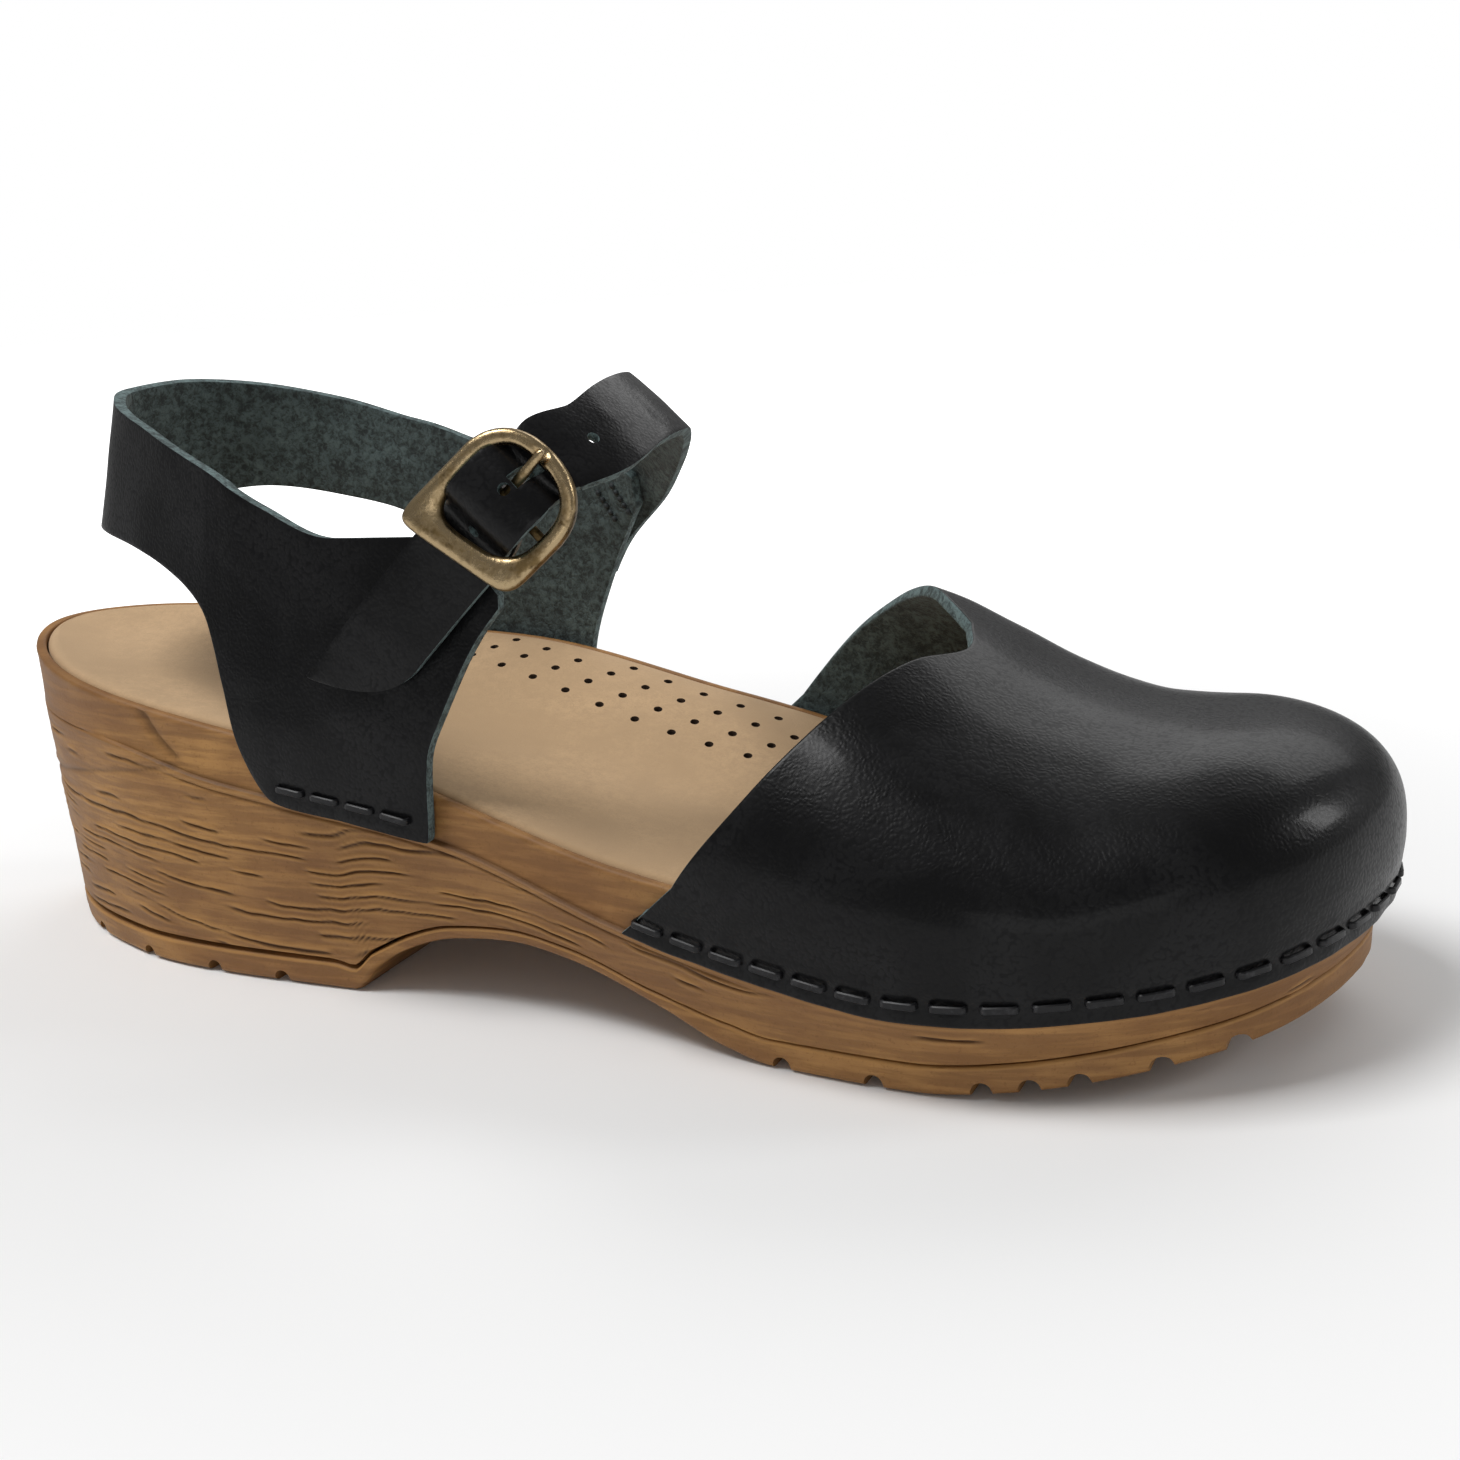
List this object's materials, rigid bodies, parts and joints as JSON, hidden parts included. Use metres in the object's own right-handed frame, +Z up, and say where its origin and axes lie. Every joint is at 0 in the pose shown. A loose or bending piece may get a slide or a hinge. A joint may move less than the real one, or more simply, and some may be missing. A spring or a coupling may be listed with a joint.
{
  "type": "clog",
  "caption": "Heeled right-foot clog with a wood-look sole, a stapled closed toe upper, an open heel loop and a buckled ankle strap.",
  "frame": {"origin": "centre of the bounding box on the ground", "axes": "+X from the heel to the toe, +Y to the inner side of the foot, +Z up"},
  "size_m": [0.2658, 0.0974, 0.1062],
  "materials": {
    "sole_wood_look": "moulded wood grain, satin",
    "footbed_foam": "matt foam",
    "insock_leather": "soft suede-like, perforated",
    "upper_leather": "glossy fine grain outside, dark blue-green nap inside",
    "antique_brass": "antiqued, worn on the edges",
    "black_staple_wire": "satin black",
    "dark_thread": "matt"
  },
  "bodies": {
    "clog": {"sole_body": "sole_wood_look", "outsole": "sole_wood_look", "footbed_core": "footbed_foam", "insock_cover": "insock_leather", "vamp": "upper_leather", "heel_quarter": "upper_leather", "ankle_strap": "upper_leather", "buckle_chape": "upper_leather", "strap_tack_01": "dark_thread", "strap_tack_02": "dark_thread", "vamp_staple_01": "black_staple_wire", "vamp_staple_02": "black_staple_wire", "vamp_staple_03": "black_staple_wire", "vamp_staple_04": "black_staple_wire", "vamp_staple_05": "black_staple_wire", "vamp_staple_06": "black_staple_wire", "vamp_staple_07": "black_staple_wire", "vamp_staple_08": "black_staple_wire", "vamp_staple_09": "black_staple_wire", "vamp_staple_10": "black_staple_wire", "vamp_staple_11": "black_staple_wire", "vamp_staple_12": "black_staple_wire", "vamp_staple_13": "black_staple_wire", "vamp_staple_14": "black_staple_wire", "vamp_staple_15": "black_staple_wire", "vamp_staple_16": "black_staple_wire", "vamp_staple_17": "black_staple_wire", "vamp_staple_18": "black_staple_wire", "vamp_staple_19": "black_staple_wire", "vamp_staple_20": "black_staple_wire", "vamp_staple_21": "black_staple_wire", "vamp_staple_22": "black_staple_wire", "vamp_staple_23": "black_staple_wire", "vamp_staple_24": "black_staple_wire", "vamp_staple_25": "black_staple_wire", "vamp_staple_26": "black_staple_wire", "vamp_staple_27": "black_staple_wire", "vamp_staple_28": "black_staple_wire", "vamp_staple_29": "black_staple_wire", "vamp_staple_30": "black_staple_wire", "vamp_staple_31": "black_staple_wire", "vamp_staple_32": "black_staple_wire", "vamp_staple_33": "black_staple_wire", "vamp_staple_34": "black_staple_wire", "vamp_staple_35": "black_staple_wire", "vamp_staple_36": "black_staple_wire", "vamp_staple_37": "black_staple_wire", "vamp_staple_38": "black_staple_wire", "outer_staple_01": "black_staple_wire", "outer_staple_02": "black_staple_wire", "outer_staple_03": "black_staple_wire", "outer_staple_04": "black_staple_wire", "inner_staple_01": "black_staple_wire", "inner_staple_02": "black_staple_wire", "inner_staple_03": "black_staple_wire", "inner_staple_04": "black_staple_wire"},
    "buckle": {"buckle_frame": "antique_brass", "buckle_bar": "antique_brass"},
    "prong": {"buckle_prong": "antique_brass"},
    "strap_end": {"strap_tip": "upper_leather"}
  },
  "joints": [
    {"name": "frame_rock", "type": "hinge", "parent": "clog", "child": "buckle", "pos_m": [0.00134, -0.03632, 0.09016], "axis": [0.6875, 0.0136, -0.726], "range_deg": [0, 3]},
    {"name": "prong_lift", "type": "hinge", "parent": "buckle", "child": "prong", "pos_m": [0.00134, -0.03632, 0.09016], "axis": [0.6875, 0.0136, -0.726], "range_deg": [0, 8]},
    {"name": "strap_end_lift", "type": "hinge", "parent": "clog", "child": "strap_end", "pos_m": [-0.00962, -0.03816, 0.07974], "axis": [-0.6856, -0.0322, 0.7273], "range_deg": [0, 65], "stiffness_Nm_per_rad": 0.03}
  ]
}
